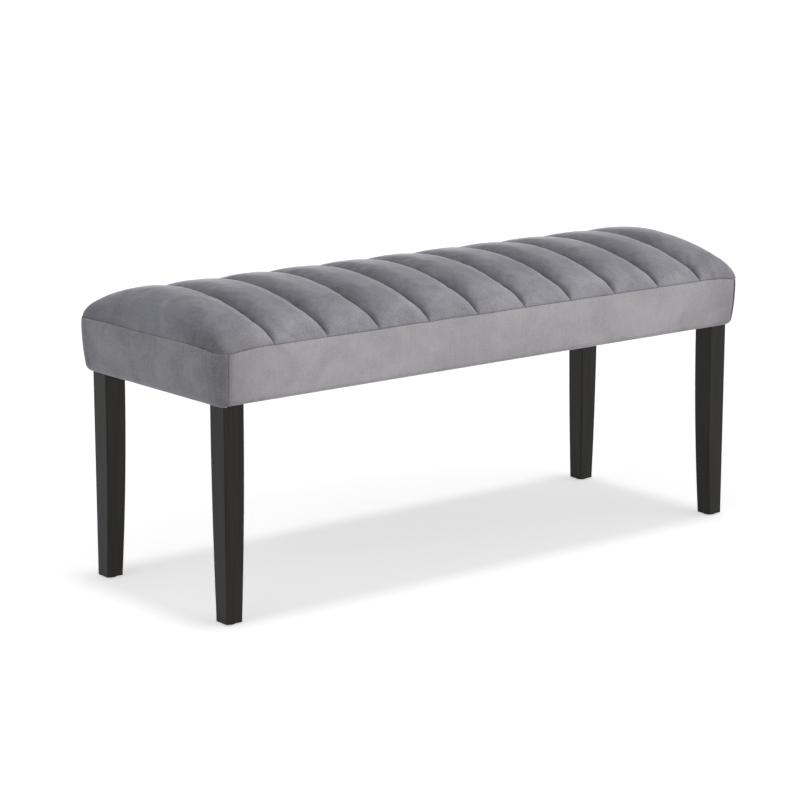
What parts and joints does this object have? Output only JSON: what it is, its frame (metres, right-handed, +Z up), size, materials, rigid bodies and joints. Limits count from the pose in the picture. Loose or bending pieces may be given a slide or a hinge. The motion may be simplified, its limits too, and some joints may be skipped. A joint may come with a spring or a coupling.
{
  "type": "upholstered dining bench",
  "caption": "Dining bench with a crowned seat of velvet channels, velvet boxing round a wooden frame, and tapered black legs bolted under its corners.",
  "frame": {"origin": "on the floor under the middle of the seat", "axes": "+X along the bench to the right, -Y to the front, +Z up"},
  "size_m": [1.1, 0.3942, 0.4891],
  "materials": {
    "velvet": "grey velvet, short pile",
    "black_lacquer": "satin black lacquer on beech",
    "nylon": "moulded nylon",
    "pine": "planed softwood",
    "plywood": "plywood",
    "foam": "cut polyurethane foam",
    "fibre": "polyester fibre fill",
    "dust_cloth": "black non-woven cloth",
    "zinc_steel": "zinc plated"
  },
  "bodies": {
    "root": {"back_boxing": "velvet", "back_edge_foam": "foam", "back_rail": "pine", "block_screws": "zinc_steel", "board_screws": "zinc_steel", "channel_fill_01": "fibre", "channel_fill_02": "fibre", "channel_fill_03": "fibre", "channel_fill_04": "fibre", "channel_fill_05": "fibre", "channel_fill_06": "fibre", "channel_fill_07": "fibre", "channel_fill_08": "fibre", "channel_fill_09": "fibre", "channel_fill_10": "fibre", "channel_fill_11": "fibre", "corner_block_back_left": "pine", "corner_block_back_right": "pine", "corner_block_front_left": "pine", "corner_block_front_right": "pine", "dust_cover": "dust_cloth", "frame_screws": "zinc_steel", "front_boxing": "velvet", "front_edge_foam": "foam", "front_rail": "pine", "glide_back_left": "nylon", "glide_back_right": "nylon", "glide_front_left": "nylon", "glide_front_right": "nylon", "hanger_bolts": "zinc_steel", "left_cross_rail": "pine", "left_edge_foam": "foam", "left_end_boxing": "velvet", "left_end_rail": "pine", "leg_back_left": "black_lacquer", "leg_back_right": "black_lacquer", "leg_dowels": "pine", "leg_front_left": "black_lacquer", "leg_front_right": "black_lacquer", "right_cross_rail": "pine", "right_edge_foam": "foam", "right_end_boxing": "velvet", "right_end_rail": "pine", "seat_board": "plywood", "seat_foam": "foam", "staples": "zinc_steel", "tee_nuts": "zinc_steel", "top_panel": "velvet"}
  },
  "joints": []
}
